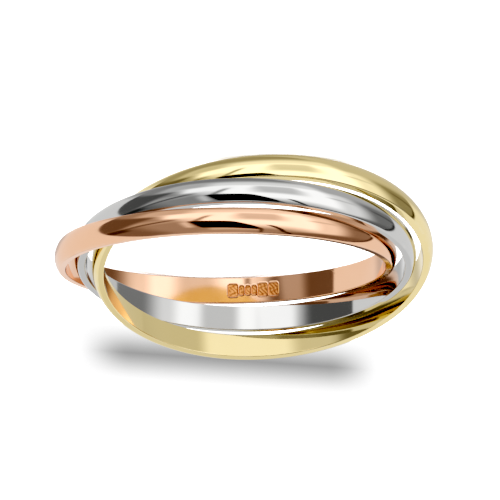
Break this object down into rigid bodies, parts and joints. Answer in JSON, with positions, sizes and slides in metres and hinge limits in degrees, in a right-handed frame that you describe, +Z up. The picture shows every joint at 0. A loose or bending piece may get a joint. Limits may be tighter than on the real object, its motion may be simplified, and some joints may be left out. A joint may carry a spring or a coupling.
{
  "type": "rolling ring",
  "caption": "Finger ring of loose interlinked bands in rose, white and yellow gold, domed outside and flat inside, lying on its side.",
  "frame": {"origin": "on the surface that the ring lies on, below the middle of the stack of bands", "axes": "+Z up, through the finger opening; X along the line on which the bands cross one another, with the rose band shifted to +X and the yellow band to -X; Y across it, with the yellow band lowest at -Y and the rose band lowest at +Y"},
  "size_m": [0.0224, 0.0205, 0.0051],
  "materials": {
    "rose_gold": "polished rose gold",
    "white_gold": "polished white gold",
    "yellow_gold": "polished pale yellow gold"
  },
  "bodies": {
    "middle": {"white_band": "white_gold"},
    "rose": {"rose_band": "rose_gold"},
    "yellow": {"yellow_band": "yellow_gold"}
  },
  "joints": [
    {"name": "rose_roll", "type": "hinge", "parent": "middle", "child": "rose", "pos_m": [0.00109, -0.00025, 0.00254], "axis": [0.0253, 0.1813, 0.9831], "continuous": true},
    {"name": "yellow_roll", "type": "hinge", "parent": "middle", "child": "yellow", "pos_m": [-0.00109, 0.00025, 0.00254], "axis": [-0.0253, -0.1813, 0.9831], "continuous": true}
  ]
}
